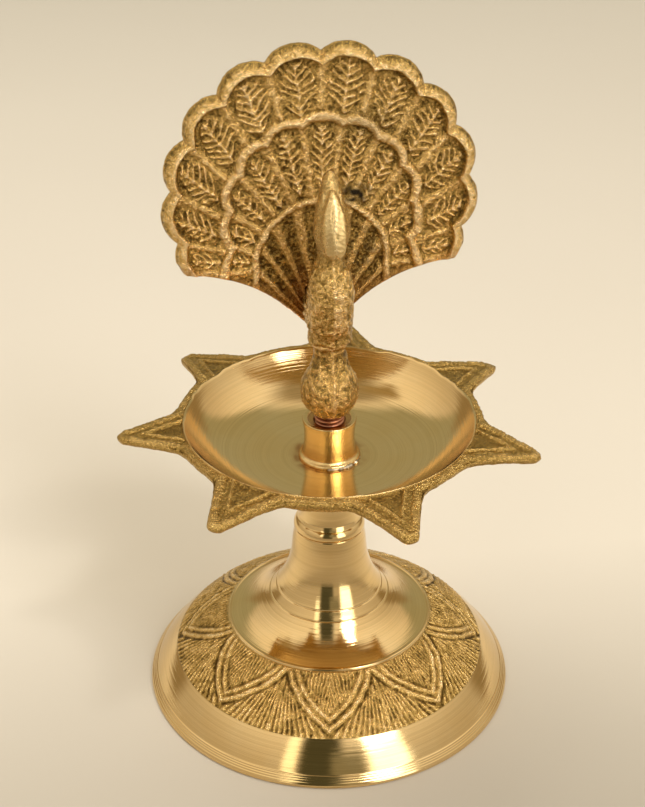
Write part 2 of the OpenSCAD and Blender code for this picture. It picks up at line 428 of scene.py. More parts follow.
# The leaf band on the dome, in degrees up its arc, and the band's inner edge where the bell begins
BAND_ARC = (44.1, 65.2)
BAND_IN = np.array([27.9, 20.6])
BAND_LENGTH = DOME_R * math.radians(BAND_ARC[1] - BAND_ARC[0])
BELL_C = np.array([34.6, 44.2])
BELL_R = float(np.hypot(*(BAND_IN - BELL_C)))
BELL_TOP = np.array([9.35, 48.7])
SEAT_Z = 60.0
# Tapped holes; CORE_R is the pinhole that the foot's closed profile leaves on the axis
HOLE_R = 4.1
HOLE_DEPTH = 11.6
CORE_R = 0.4
LEAVES = 8
LEAF_TURN = math.radians(-99)
# Fine turned lines: radii of the two on the bell and heights of those round the rim
BELL_LINES = (16.2, 14.4)
RIM_LINES = (0.75, 1.25, 1.75, 2.25, 2.7)
# A leaf's double outline and the cuts beside it, as distance in from its edge, width and height
LEAF_RIDGES = ((0.8, 0.6, 1.0), (2.75, 0.6, 0.9))
LEAF_CUTS = ((-0.35, 0.38, 1.0), (1.8, 0.4, 0.8), (3.75, 0.4, 0.6))


def leaf_relief(angle, t, r):
    """Height of the embossing, from 0 to 1, at a share t of the way out across the band."""
    half = math.pi / LEAVES
    across = ((angle - LEAF_TURN + half) % (2 * half) - half) / half
    tip, power = 0.93, 1.35
    x, y = r * np.cos(angle), r * np.sin(angle)
    out = t * BAND_LENGTH
    inside = np.clip(t / tip, 1e-3, 1.2)
    edge = 1 - inside**power
    slope = power * inside ** (power - 1) / (tip * BAND_LENGTH)
    reach = half * r
    d = (edge - np.abs(across)) / np.sqrt(slope**2 + 1 / reach**2) + 0.22 * noise(x, y, out, 3.5, 11)
    side = np.abs(across) * reach
    drift = 0.3 * noise(x, y, out, 2.2, 3)
    grass = np.sin(TAU * (side * (1.0 + 0.035 * out) - 0.3 * out + drift))
    # Between the leaves the strokes fan out from the root, half as many near it as further out
    root, strokes = 2.0, 88
    spread = np.arctan2(reach - side, out + root)
    far = np.hypot(reach - side, out + root)
    fine, wide = (np.sin(number * spread + 1.6 * drift) for number in (strokes, strokes / 2))
    fan = fine + (wide - fine) * (1 - smooth(7.5, 10.5, far))
    field = np.where(d > 0, 0.75 * grass, fan) * (0.7 + 0.45 * noise(x, y, out, 1.4, 5))
    open_field = np.where(d > 0, smooth(3.6, 4.3, d), smooth(0.4, 1.0, -d))
    outline = 0.4 * ridges(d, *LEAF_RIDGES) - 0.4 * ridges(d, *LEAF_CUTS)
    return 0.42 + outline + 0.36 * field * open_field


def bell_line():
    """The bell's outside from its foot to the shoulder, with more rows where the fine lines are cut."""
    start = math.degrees(math.atan2(*(BAND_IN + [-1.0, 0.43] - BELL_C)[::-1]))
    line = spaced(arc(BELL_C, BELL_R, start, -190, 300), 0.05)
    near = np.min([np.abs(line[:, 0] - r) for r in BELL_LINES], axis=0) < 0.35
    sparse = np.arange(len(line)) % 8 == 0
    arc_top = 41.5
    line = line[(near | sparse) & (line[:, 1] < arc_top)]
    return np.concatenate([line, spaced([line[-1], [9.85, 45.5], BELL_TOP], 0.4)[1:]])


def foot_profile():
    """Rows of the foot from inside the rim, over the outside and back underneath, and each row's tag."""
    rim = [[FOOT_R - 4, 0], [FOOT_R - 0.5, 0], [FOOT_R, 0.4], [FOOT_R - 0.1, 1.2],
           CREASE + [0.25, -0.15], CREASE]
    lip = [BAND_IN + step for step in ([-0.1, 0.1], [-0.25, 0.5], [-0.6, 0.65], [-0.8, 0.45])]
    shoulder = np.concatenate([
        BELL_TOP + [[-0.2, 0.2], [0.2, 0.35]],
        arc(BELL_TOP + [-2.7, 0.8], 2.9, 0, 50, 12),
    ])
    seat_r = 7.9
    neck = [shoulder[-1], [7.95, 52.9], [7.75, 54.5], [7.7, 57.5], [seat_r, SEAT_Z - 0.4],
            [seat_r, SEAT_Z], [HOLE_R, SEAT_Z]]
    hole = [[HOLE_R, SEAT_Z - 0.5], [HOLE_R, SEAT_Z - HOLE_DEPTH], [CORE_R, SEAT_Z - HOLE_DEPTH]]
    under = [[CORE_R, 37.5], [4, 37.2], *arc(BELL_C, BELL_R + WALL, -163, -112, 16),
             *arc(DOME_C, DOME_R - WALL, 62, 33, 16), [FOOT_R - 4.2, 0.6]]
    parts = {
        "rim": spaced(rim, 0.09),
        "low": spaced(arc(DOME_C, DOME_R, 33.2, 44.0, 30), 0.45),
        "band": spaced(arc(DOME_C, DOME_R, *BAND_ARC, 60), 0.17),
        "lip": spaced(lip, 0.1),
        "bell": bell_line(),
        "shoulder": shoulder,
        "neck": spaced(neck, 0.3)[1:],
        "hole": spaced(hole, 1.5),
        "under": spaced(under, 1.4),
    }
    tags = np.concatenate([np.full(len(p), name) for name, p in parts.items()])
    return np.concatenate(list(parts.values())), tags


def make_foot(material):
    profile, tag = foot_profile()
    columns = 1080
    normals = -line_normals(profile)
    angle, r, z = revolve(profile, columns)
    x, y = r * np.cos(angle), r * np.sin(angle)
    band, bell, rim, under = ((tag == name)[:, None] for name in ("band", "bell", "rim", "under"))
    t = np.zeros((len(profile), 1))
    t[band] = np.linspace(1, 0, band.sum())
    relief = leaf_relief(angle, np.repeat(t, columns, 1), r)
    relief = relief + 0.18 * noise(x, y, z, 0.55, 7) + 0.22 * noise(x, y, z, 1.6, 8)
    lift = 0.66 * (relief - 0.5) * window(t, 0, 0.04, 0.96, 1.0) * band
    lift -= bell * ridges(r, *((centre, 0.11, 0.1) for centre in BELL_LINES))
    lift -= rim * ridges(z, *((height, 0.13, 0.06) for height in RIM_LINES))
    lift += under * 0.12 * noise(x, y, z, 7, 9)
    points = ring_points(angle, r + lift * normals[:, :1], z + lift * normals[:, 1:])
    cast = np.repeat(np.isin(tag, ("band", "hole", "under"))[:, None], columns, 1)
    high = np.where(band, 0.9 * relief, 0.3)
    faces = ring_faces(len(profile), columns, close_rows=True)
    obj = mesh_object("lamp_foot", points, faces, {"cast": cast, "high": high, "stain": 0 * high})
    return add_piece(obj, "foot", "turned_brass", material, "base")


# ---------------------------------------------------------------- oil dish

DISH_R = 37.8
FLOOR_Z = 70.9
RIM_Z = 82.6
# The dish's floor is level inside FLAT_R and rises from there with this power of the radius
FLAT_R = 8.6
DISH_POWER = 3.5
UNDER_R = 33.8
UNDER_Z = 75.6
FLANGE_R = 39.7
NOSE_R = 2.4
FLANK = math.radians(25.5)
# Each point's direction in degrees, tip radius and droop: no two were cast alike
POINTS = ((180, 54.6, 0.2), (230.6, 55, 1.5), (281.6, 54.9, 2.0), (334.3, 55.2, 1.4), (25.7, 55, 1.7),
          (76.5, 55.6, 1.2), (128.6, 54.6, 2.2))
TURNS, TIPS, DROOPS = np.array(POINTS).T


def point_shape(tip):
    """Centre of a point's rounded nose, and where its two flanks would meet."""
    centre = tip - NOSE_R
    return centre, centre + NOSE_R / math.sin(FLANK)


def point_reach(off, tip):
    """Radius of one point's outline at an angle off its middle."""
    centre, apex = point_shape(tip)
    off = np.abs(off)
    steepest = 1.2
    flank = apex * math.sin(FLANK) / np.sin(np.minimum(off, steepest) + FLANK)
    nose = centre * np.cos(off) + np.sqrt(np.maximum(NOSE_R**2 - (centre * np.sin(off)) ** 2, 0))
    turn = np.arctan(NOSE_R * math.cos(FLANK) / (centre + NOSE_R * math.sin(FLANK)))
    return np.where(off < turn, nose, flank)


def rim_reach(angle):
    """Outline of the whole rim, the index of the nearest point, and the angle off it."""
    off = (angle[..., None] - np.radians(TURNS) + math.pi) % TAU - math.pi
    nearest = np.abs(off).argmin(-1)
    off = np.take_along_axis(off, nearest[..., None], -1)[..., 0]
    soft = 0.6
    reach = np.logaddexp(soft * point_reach(off, TIPS[nearest]), soft * FLANGE_R) / soft
    return reach, nearest, off


def rim_columns(step):
    """Angles spaced evenly along the rim's outline."""
    angle = np.linspace(0, TAU, 20001)
    reach = rim_reach(angle)[0]
    line = np.stack([reach * np.cos(angle), reach * np.sin(angle)], 1)
    along = np.concatenate([[0], np.cumsum(np.hypot(*np.diff(line, axis=0).T))])
    return np.interp(np.arange(0, along[-1] - step / 2, step), along, angle)


def rim_relief(x, y, r, nearest, off):
    """Height of the cast rim over its lowest floor."""
    along, side = r * np.cos(off), np.abs(r * np.sin(off))
    centre, apex = point_shape(TIPS[nearest])
    flank = (apex - along) * math.sin(FLANK) - side * math.cos(FLANK)
    nose = NOSE_R - np.hypot(along - centre, side)
    beyond = np.arctan2(side, along - centre) < math.pi / 2 - FLANK
    d = np.where(beyond, nose, flank)
    path = np.where(beyond, 0, along * math.cos(FLANK) - side * math.sin(FLANK))
    edge = FLANGE_R + 0.3 - r
    on_flange = edge > d
    d = np.maximum(d, edge) + 0.2 * noise(x, y, 0, 2.6, 21)
    path = np.where(on_flange, r * np.arctan2(y, x), path)
    twist = 1.25
    rope = 0.09 * np.sin(TAU * path / twist + 1.5 * noise(x, y, 0, 3, 22))
    border = dome(d, 1.05, 1.35) * (0.72 + rope)
    inner = np.where(on_flange, 0, 0.75 * bump(d, 4.15, 0.55))
    band = 0.3 * window(d, 1.9, 2.6, 4.4, 5.0)
    field = 0.16 * smooth(4.6, 5.6, d) * (1 - smooth(0, 12, d) * 0.5)
    grain = 0.12 * noise(x, y, 0, 0.6, 23) + 0.16 * noise(x, y, 0, 1.6, 24)
    return np.maximum(border, np.maximum(inner, band) + field) + grain


def make_dish(material):
    angle = rim_columns(0.33)
    columns = len(angle)
    reach, nearest, off = rim_reach(angle)
    across, back = np.cos(angle), np.sin(angle)
    edge_r = DISH_R + 0.14 * noise(across * DISH_R, back * DISH_R, 0, 2.4, 31)
    edge_r = edge_r + 0.3 * noise(across * DISH_R, back * DISH_R, 0, 7, 32)
    rows, cast, high, stain = [], [], [], []

    def row(r, z, rough, tone, dark=0.0):
        r, z, tone, dark = (np.broadcast_to(v, columns) for v in (r, z, tone, dark))
        rows.append(np.stack([r * across, r * back, z], 1))
        cast.append(np.full(columns, rough))
        high.append(tone)
        stain.append(dark)

    def floor(r):
        """Height of the dish's inside."""
        share = np.maximum(r - FLAT_R, 0) / (DISH_R - FLAT_R)
        return FLOOR_Z + (RIM_Z - FLOOR_Z) * share**DISH_POWER

    def plane(r):
        """Top of the cast rim: level at the dish, and drooping towards the tips."""
        point_length = 17
        share = np.clip((r - DISH_R) / point_length, 0, 1)
        return RIM_Z - 0.15 - DROOPS[nearest] * share**1.6

    inside_r = HOLE_R + 0.1
    for share in np.linspace(0, 1, 60) ** 0.85:
        r = inside_r + (edge_r - inside_r) * share
        tarnish = bump(r, FLAT_R, 1.3) * (0.5 + 0.5 * noise(across * r, back * r, 0, 1.5, 33))
        row(r, floor(r), 0.0, 0.5, np.clip(tarnish, 0, 1))
    row(edge_r + 0.12, floor(edge_r) + 0.03, 0.3, 0.8)
    for share in np.linspace(0, 1, 50):
        r = edge_r + 0.25 + (reach - edge_r - 0.25) * share
        relief = rim_relief(r * across, r * back, r, nearest, off)
        rounded = 0.5 * (1 - smooth(0, 0.06, 1 - share))
        z = plane(r) + (relief - 0.8 - rounded) * smooth(0, 0.5, r - edge_r)
        row(r, z, 1.0, np.clip(0.14 + 0.42 * relief, 0, 1))
    for drop, out in ((0.5, 0.22), (0.95, 0.28), (1.4, 0.15), (1.8, -0.2)):
        r = reach + out + 0.22 * noise(across * reach, back * reach, drop * 2, 1.1, 34)
        row(r, plane(reach) - drop - 0.3, 1.0, 0.3)
    thick = 2.2
    for share in np.linspace(0.02, 1, 16):
        r = reach + (UNDER_R - reach) * share
        blend = smooth(UNDER_R, DISH_R + 1, r)
        z = (plane(r) - thick) * blend + (UNDER_Z + (r - UNDER_R) * 1.2) * (1 - blend)
        row(r, z + 0.2 * noise(across * r, back * r, 0, 1.5, 35), 1.0, 0.35)
    belly = [[33.4, 75.3], [27, 70.9], [20, 66.7], [13.5, 62.6], [11, 61], [9.6, SEAT_Z + 0.3],
             [9.2, SEAT_Z], [inside_r, SEAT_Z], [inside_r, FLOOR_Z - 0.4]]
    for r, z in spaced(belly, 0.8):
        row(r, z, 0.0, 0.4)
    values = {"cast": np.concatenate(cast), "high": np.concatenate(high), "stain": np.concatenate(stain)}
    faces = ring_faces(len(rows), columns, close_rows=True)
    obj = mesh_object("oil_dish", np.concatenate(rows), faces, values)
    return add_piece(obj, "dish", "turned_brass", material, "bowl")


# ---------------------------------------------------------------- collar, solder and screw threads

COLLAR_TOP = 82.3
COLLAR_R = 6.95


def make_collar(material):
    """A turned collar with a hollow waist and a shallow cup on top, stained red inside by the stud."""
    waist = arc([29.3, 77.0], 22.72, 192.5, 168, 26)
    waist = waist[(waist[:, 1] > 72.7) & (waist[:, 1] < 81.6)]
    bottom = FLOOR_Z - 0.02
    outside = [[8.05, bottom], [8.15, FLOOR_Z + 0.35], [7.9, FLOOR_Z + 0.8], [7.3, FLOOR_Z + 1.15],
               [COLLAR_R, FLOOR_Z + 1.6], *waist, [COLLAR_R, 81.7], [7.05, 82.0], [6.9, COLLAR_TOP]]
    cup = [[5.9, COLLAR_TOP], [5.5, COLLAR_TOP - 0.4], [HOLE_R, COLLAR_TOP - 0.5], [HOLE_R, bottom]]
    profile = spaced(outside + cup, 0.18)
    columns, red_inside = 240, 5.7
    angle, r, z = revolve(profile, columns)
    values = {"cast": 0 * r + 0.2, "high": 0 * r + 0.5, "stain": np.where(r < red_inside, 0.85, 0.0)}
    faces = ring_faces(len(profile), columns, close_rows=True)
    obj = mesh_object("collar", ring_points(angle, r, z), faces, values)
    return add_piece(obj, "dish", "turned_brass", material, "boss_collar")


def make_solder(material):
    """A lumpy bead round the right-hand front of the collar's foot, where it was soldered to the dish."""
    steps, sides = 120, 18
    share = np.linspace(0, 1, steps)[:, None]
    angle = np.radians(-105 + 92 * share)
    lumps = 1 + 0.75 * noise(8 * np.cos(angle), 8 * np.sin(angle), 0, 0.9, 41)
    size = 0.42 * lumps * window(share, 0, 0.12, 0.88, 1) + 0.05
    around = TAU * np.arange(sides) / sides
    r = 7.95 + 1.25 * size * np.cos(around)
    points = ring_points(angle, r, FLOOR_Z + 0.18 + size * np.sin(around))
    obj = mesh_object("solder_bead", points, capped_faces(steps, sides), {})
    return add_piece(obj, "dish", "turned_brass", material)


def frame_slot(node):
    """The material slot that the record gives a node."""
    return next(p["material_slot"] for p in frame["record"]["subparts"] if p["node"] == node)


def make_thread(name, body, node, bottom, top, material):
    """A stud with a real helical thread, and a chamfer on each end."""
    pitch, crest_r, depth, end_r = 1.25, 3.95, 0.62, 3.2
    columns, step = 64, 0.1
    a, z = np.meshgrid(np.arange(columns) * TAU / columns, np.arange(bottom, top + step / 2, step))
    wave = np.abs(((z / pitch - a / TAU) % 1) * 2 - 1)
    r = crest_r - depth * smooth(0.12, 0.95, wave)
    r = np.minimum(r, end_r + np.minimum(z - bottom, top - z))
    tone = 0.25 + 0.6 * smooth(3.4, 3.9, r)
    obj = mesh_object(name, ring_points(a, r, z), capped_faces(len(z), columns), {"high": tone})
    return add_piece(obj, body, frame_slot(node), material, node)


# ---------------------------------------------------------------- bird

# Rings of the standing parts: centre y, height, half width, half depth and lean in degrees
BULB = ((0, 83.7, 2.4, 2.4, 0), (0, 84.4, 4.2, 4.2, 0), (0, 86, 5.9, 5.9, 0), (0, 88.2, 7.1, 7.1, 0),
        (0, 90.8, 7.45, 7.45, 0), (0, 93.2, 7.1, 7.1, 0), (0, 95.2, 6.2, 6.2, 0), (0, 97.4, 5.1, 5.1, 0),
        (0, 99.8, 4.35, 4.35, 0), (0, 102.2, 4.0, 4.0, 0), (0, 104.5, 4.1, 4.1, 0), (0, 107, 4.3, 4.3, 0))
BODY = ((0, 103.6, 3.6, 3.7, 0), (-0.1, 104.4, 4.9, 4.9, 0), (-0.3, 105.6, 5.35, 5.5, 0),
        (-0.8, 108.5, 5.4, 5.7, 0), (-1.4, 113, 5.5, 6.0, 0), (-1.9, 118, 5.6, 5.9, 8),
        (-2.0, 122, 5.45, 5.4, 10), (-1.8, 125, 4.8, 4.7, 8), (-1.5, 127.2, 3.6, 3.8, 0),
        (-1.5, 129, 3.3, 3.5, 0), (-2.1, 131.5, 3.55, 3.8, -6), (-2.8, 134.5, 4.2, 4.6, -10),
        (-3.0, 138, 4.5, 4.9, -10), (-2.3, 141, 4.1, 4.4, -8), (-1.2, 144.2, 3.2, 3.3, -6),
        (-0.3, 147.5, 2.2, 2.2, -4), (0.4, 149.6, 1.4, 1.4, 0), (0.6, 150.6, 0.4, 0.4, 0))
FACE = ((-3.2, 147, 0.5, 0.6, 0), (-3.9, 145, 1.5, 1.6, 0), (-5.0, 142, 2.7, 2.3, 0),
        (-5.9, 138.8, 3.4, 2.7, 0), (-6.7, 136, 3.35, 2.5, 0), (-7.6, 133.9, 2.8, 1.9, 0),
        (-8.4, 132.4, 2.0, 1.2, 0), (-8.9, 131.6, 0.9, 0.5, 0))
# Rings of the back, running level to the fan: height, y, half width and half depth
BACK = ((112, -3, 4, 5), (111.8, 0, 5.3, 6.9), (111.4, 4, 5.5, 7.0), (110.8, 8, 5.1, 6.3),
        (110.5, 11, 4.7, 5.6), (110.5, 12.9, 4.9, 5.9))
HEM_Z = 104.9
BEAK_Z = 131.9
EYE_Z = 137.3
CREASE_Z = 142.6


def through(rings, count):
    """More rings on a smooth curve through the given ones."""
    p = np.asarray(rings, float)
    p = np.concatenate([[2 * p[0] - p[1]], p, [2 * p[-1] - p[-2]]])
    at = np.linspace(1, len(p) - 2 - 1e-6, count)
    i = at.astype(int)
    f = (at - i)[:, None]
    a, b, c, d = p[i - 1], p[i], p[i + 1], p[i + 2]
    return b + 0.5 * f * (c - a + f * (2 * a - 5 * b + 4 * c - d + f * (3 * (b - c) + d - a)))


def loft(rings, upright, sides=56):
    """Points and faces of a closed skin over elliptical rings, standing up or running back."""
    a = np.arange(sides) * TAU / sides
    across, along = np.cos(a), np.sin(a)
    points = []
    for ring in rings:
        if upright:
            y, z, half, deep, lean = ring
            half, deep, lean = max(half, 0.1), max(deep, 0.1), math.radians(lean)
            ring_y, ring_z = y + deep * along * math.cos(lean), z + deep * along * math.sin(lean)
        else:
            z, y, half, deep = ring
            ring_y, ring_z = np.full(sides, y), z - deep * along
        points.append(np.stack([half * across, ring_y, ring_z], 1))
    return np.concatenate(points), capped_faces(len(rings), sides)


def remeshed(name, parts, voxel):
    """A mesh in metres with one even skin over overlapping closed parts."""
    points, faces = [], []
    for p, f in parts:
        shift = sum(len(q) for q in points)
        points.append(p)
        faces += [tuple(v + shift for v in face) for face in f]
    obj = mesh_object(name, np.concatenate(points), faces, {})
    remesh = obj.modifiers.new("remesh", "REMESH")
    remesh.mode = "VOXEL"
    remesh.voxel_size = voxel * MM
    relax = obj.modifiers.new("relax", "SMOOTH")
    relax.factor = 0.5
    relax.iterations = 5
    mesh = bpy.data.meshes.new_from_object(obj.evaluated_get(bpy.context.evaluated_depsgraph_get()))
    bpy.data.objects.remove(obj)
    mesh.shade_smooth()
    return mesh


def bird_shape(p, n):
    """How far each point of the bird moves out along its normal, its brightness, and where its face is."""
    x, y, z = p.T
    side = np.abs(x)
    forward = -n[:, 1]
    front = smooth(0.1, 0.7, forward)
    on_bulb = window(z, 83.5, 86, 96, 99)
    on_waist = window(z, 97, 99, 103, 104)
    on_breast = window(z, 105, 107, 124, 127)
    on_head = smooth(129, 131.5, z)
    face = smooth(0.1, 0.5, 1 - side / 3.6) * smooth(0.25, 0.75, forward)
    face = face * window(z, 130.5, 132, 145, 147.5)
    # Bulb and waist: a wavering seam down the front with a swelling on either side of it
    seam = bump(x, 0.15 + 0.12 * noise(0, 0, z, 4, 51), 0.42) * front
    lobes = bump(side, 3.0, 1.9) * front
    lift = on_bulb * (0.55 * seam + 0.5 * lobes) + 0.3 * seam * on_breast
    lift += on_waist * front * (0.35 * bump(x, 0, 1.1) - 0.2 * bump(side, 1.9, 0.5))
    hem = HEM_Z + 0.9 * np.abs(np.sin(x * 0.62))
    lift += 0.3 * bump(z, hem + 0.9, 0.6) - 0.5 * bump(z, hem - 0.35, 0.45)
    # Wings: slanting feathers on the bird's sides
    wing_y, wing_z = y - 3.5, z - 113
    on_wing = smooth(0.55, 0.85, np.abs(n[:, 0])) * window(z, 106.5, 108, 119, 121)
    on_wing = on_wing * window(wing_y, -6, -4, 7.5, 9.5)
    feathers = np.sin(TAU * (wing_z + 0.35 * wing_y + 0.03 * wing_y**2) / 2.4)
    lift += on_wing * (0.25 + 0.22 * feathers)
    # Head: the notch of the beak, the eyes, a crease on the brow and fine strokes on the face
    notch = bump(x, 0, 0.3) * bump(z, BEAK_Z, 0.9) * front
    eyes = bump(x, 0.45, 0.4) * bump(z, EYE_Z, 0.9) * front
    crease = bump(x + 0.5, 0.1 * (z - 142), 0.35) * bump(z, CREASE_Z, 2.2) * front
    strokes = np.sin(TAU * (z + 0.5 * side + 0.5 * noise(x, 0, z, 2, 55)) / 1.1) * face
    lift += 0.035 * strokes + 0.22 * bump(side, 2.3, 0.5) * face - 0.5 * notch - 0.35 * eyes - 0.3 * crease
    # Grain of the casting, finer on the head and face
    coarse, fine = noise(x, y, z, 1.5, 52), noise(x, y, z, 0.7, 53)
    sandy = np.where(z > 128, 0.3, 1.0) * (1 - 0.4 * face) * (1 - 0.5 * on_waist * front * bump(x, 0, 1.1))
    lift += sandy * (0.2 * coarse + 0.2 * fine) + 0.12 * noise(x, y, z, 4, 54)
    # Brightness, from the worn high places to the brown hollows, with a painted highlight down the breast
    # a little off its middle, painted shade under the beak and painted shade on the back between the body
    # and the fan
    painted_sheen = bump(x, 1.6, 1.3) * window(z, 107, 112, 121, 125) * front
    high = 0.42 + 0.07 * coarse * sandy + 0.34 * fine * sandy + 0.2 * face + 0.3 * seam + 0.1 * strokes
    # The painted highlight down the breast
    high += 0.35 * painted_sheen - 0.12 * on_waist - 0.06 * on_head
    face = face * (1 - 0.5 * eyes) * (1 - 0.4 * crease)
    high -= 0.5 * eyes + 0.4 * notch + 0.4 * crease - 0.3 * bump(z, hem - 0.5, 0.9)
    # The head a little darker, and painted shade on the neck under the beak
    high -= 0.04 * on_head * (1 - face) + 0.12 * bump(z, 129, 2)
    # Painted shade on the back, in the gap between the body and the fan
    high -= 0.3 * bump(z, 112, 4) * smooth(2, 8, y)
    return lift, high, face


def make_bird(material):
    upright = [loft(through(rings, count), True) for rings, count in ((BULB, 60), (BODY, 110), (FACE, 50))]
    mesh = remeshed("bird_skin", [*upright, loft(through(BACK, 30), False)], 0.3)
    count = len(mesh.vertices)
    place, normal = np.empty(count * 3), np.empty(count * 3)
    mesh.vertices.foreach_get("co", place)
    mesh.vertex_normals.foreach_get("vector", normal)
    place, normal = place.reshape(-1, 3) / MM, normal.reshape(-1, 3)
    lift, high, face = bird_shape(place, normal)
    mesh.vertices.foreach_set("co", ((place + lift[:, None] * normal) * MM).ravel())
    pale = np.maximum(face, 0.4 * smooth(129, 132, place[:, 2]))
    store(mesh, {"high": high, "pale": pale, "soot": 0 * high, "rust": 0 * high})
    mesh.update()
    bird = bpy.data.objects.new("peacock", mesh)
    bpy.context.scene.collection.objects.link(bird)
    return add_piece(bird, "peacock", "cast_brass", material, "peacock_body")


# ---------------------------------------------------------------- tail fan

FAN_Z = 138.3
PIVOT_Z = 120.0
WEB_FRONT = 12.8
FAN_BACK = 14.8
NOTCH_R = 37.4
LOBE_RISE = 2.6
LOBE_PITCH = math.radians(21.2)
FAN_TOP = math.radians(113)
CORNER = np.array([36.2, 119.6])
ROOT = np.array([4.6, 103.9])
# Ridges between the rings of feathers: the lobed middle one and the round inner one
MIDDLE_Z = 135.5
MIDDLE_R = 24.4
MIDDLE_PITCH = math.radians(25)
INNER_Z = 121.0
INNER_R = 18.0
RIM_WIDTH, MIDDLE_WIDTH, INNER_WIDTH = 3.4, 2.9, 2.3
# Where the feathers of a ring meet, in degrees about the pivot, as on the photographed fan
OUTER_NOTCHES = (-91, -77.5, -59.8, -43.8, -28.8, -14.3, 0, 14.3, 28.8, 43.8, 59.8, 77.5, 91)
MIDDLE_NOTCHES = (-92, -75, -56, -39, -23, -7.6, 7.6, 23, 39, 56, 75, 92)
RAYS = 34
RAYS_Z = 101.0


def scallop(angle, pitch, radius, rise, shift=0.0):
    """Radius of a lobed circle, each lobe being one arc."""
    off = (angle + shift * pitch) % pitch - pitch / 2
    chord, sag = radius * math.sin(pitch / 2), radius + rise - radius * math.cos(pitch / 2)
    rho = (chord**2 + sag**2) / (2 * sag)
    centre = radius + rise - rho
    return centre * np.cos(off) + np.sqrt(rho**2 - (centre * np.sin(off)) ** 2)


def fan_outline(step):
    """Points round the fan in x and z, evenly spaced, starting at the root's left."""
    bend = np.array([18.0, 118.8])
    t = np.linspace(0, 1, 60)[:, None]
    lower = (1 - t) ** 2 * ROOT + 2 * t * (1 - t) * bend + t**2 * CORNER
    angle = np.linspace(-FAN_TOP, FAN_TOP, 3000)
    reach = scallop(angle, LOBE_PITCH, NOTCH_R, LOBE_RISE)
    lobes = np.stack([reach * np.sin(angle), FAN_Z + reach * np.cos(angle)], 1)
    left = lower * [-1, 1]
    line = np.concatenate([left[:-2], lobes[lobes[:, 1] > CORNER[1] + 1.6], lower[-3::-1], left[:1]])
    return spaced(line, step)[:-1]


def feather_ring(x, z, notches, inward, outward):
    """Relief and brightness of a ring of leaf-shaped feathers, from the distances to the ridges by it."""
    turn = np.arctan2(x, z - PIVOT_Z)
    far = np.hypot(x, z - PIVOT_Z)
    edges = np.radians(notches)
    k = np.clip(np.searchsorted(edges, turn) - 1, 0, len(edges) - 2)
    middle, half = (edges[k] + edges[k + 1]) / 2, (edges[k + 1] - edges[k]) / 2
    side = (turn - middle) * far
    half_width = half * far
    share = np.clip(inward / np.maximum(inward + outward, 1e-3), 0, 1)
    leaf_half = (half_width - smooth(0, 0.8, half_width)) * dome(share, 0.5, 0.46)
    leaf = smooth(0, 0.7, leaf_half - np.abs(side))
    wobble = 0.7 * noise(x, z, 0, 2.8, 61)
    barb_step = 1.95
    barbs = np.sin(TAU * (far - 0.75 * np.abs(side) + wobble) / barb_step + k * 1.7)
    barbs = barbs * (0.75 + 0.5 * noise(x, z, 0, 1.7, 71))
    rib = bump(side + 0.3 * wobble, 0, 0.45)
    separator = bump(np.abs(side), half_width, 1.15)
    relief = 0.6 * separator * (1 - 0.35 * share)
    relief += leaf * (0.26 + 0.4 * smooth(-0.3, 0.9, barbs) * (1 - rib) + 0.42 * rib)
    relief += 0.55 * (1 - smooth(0, 0.55, share))
    # Barb crests, ribs and separators painted brighter: partly wear, partly painted highlight
    return relief, 0.1 + 0.5 * leaf * smooth(-0.2, 0.8, barbs) + 0.35 * rib * leaf + 0.4 * separator


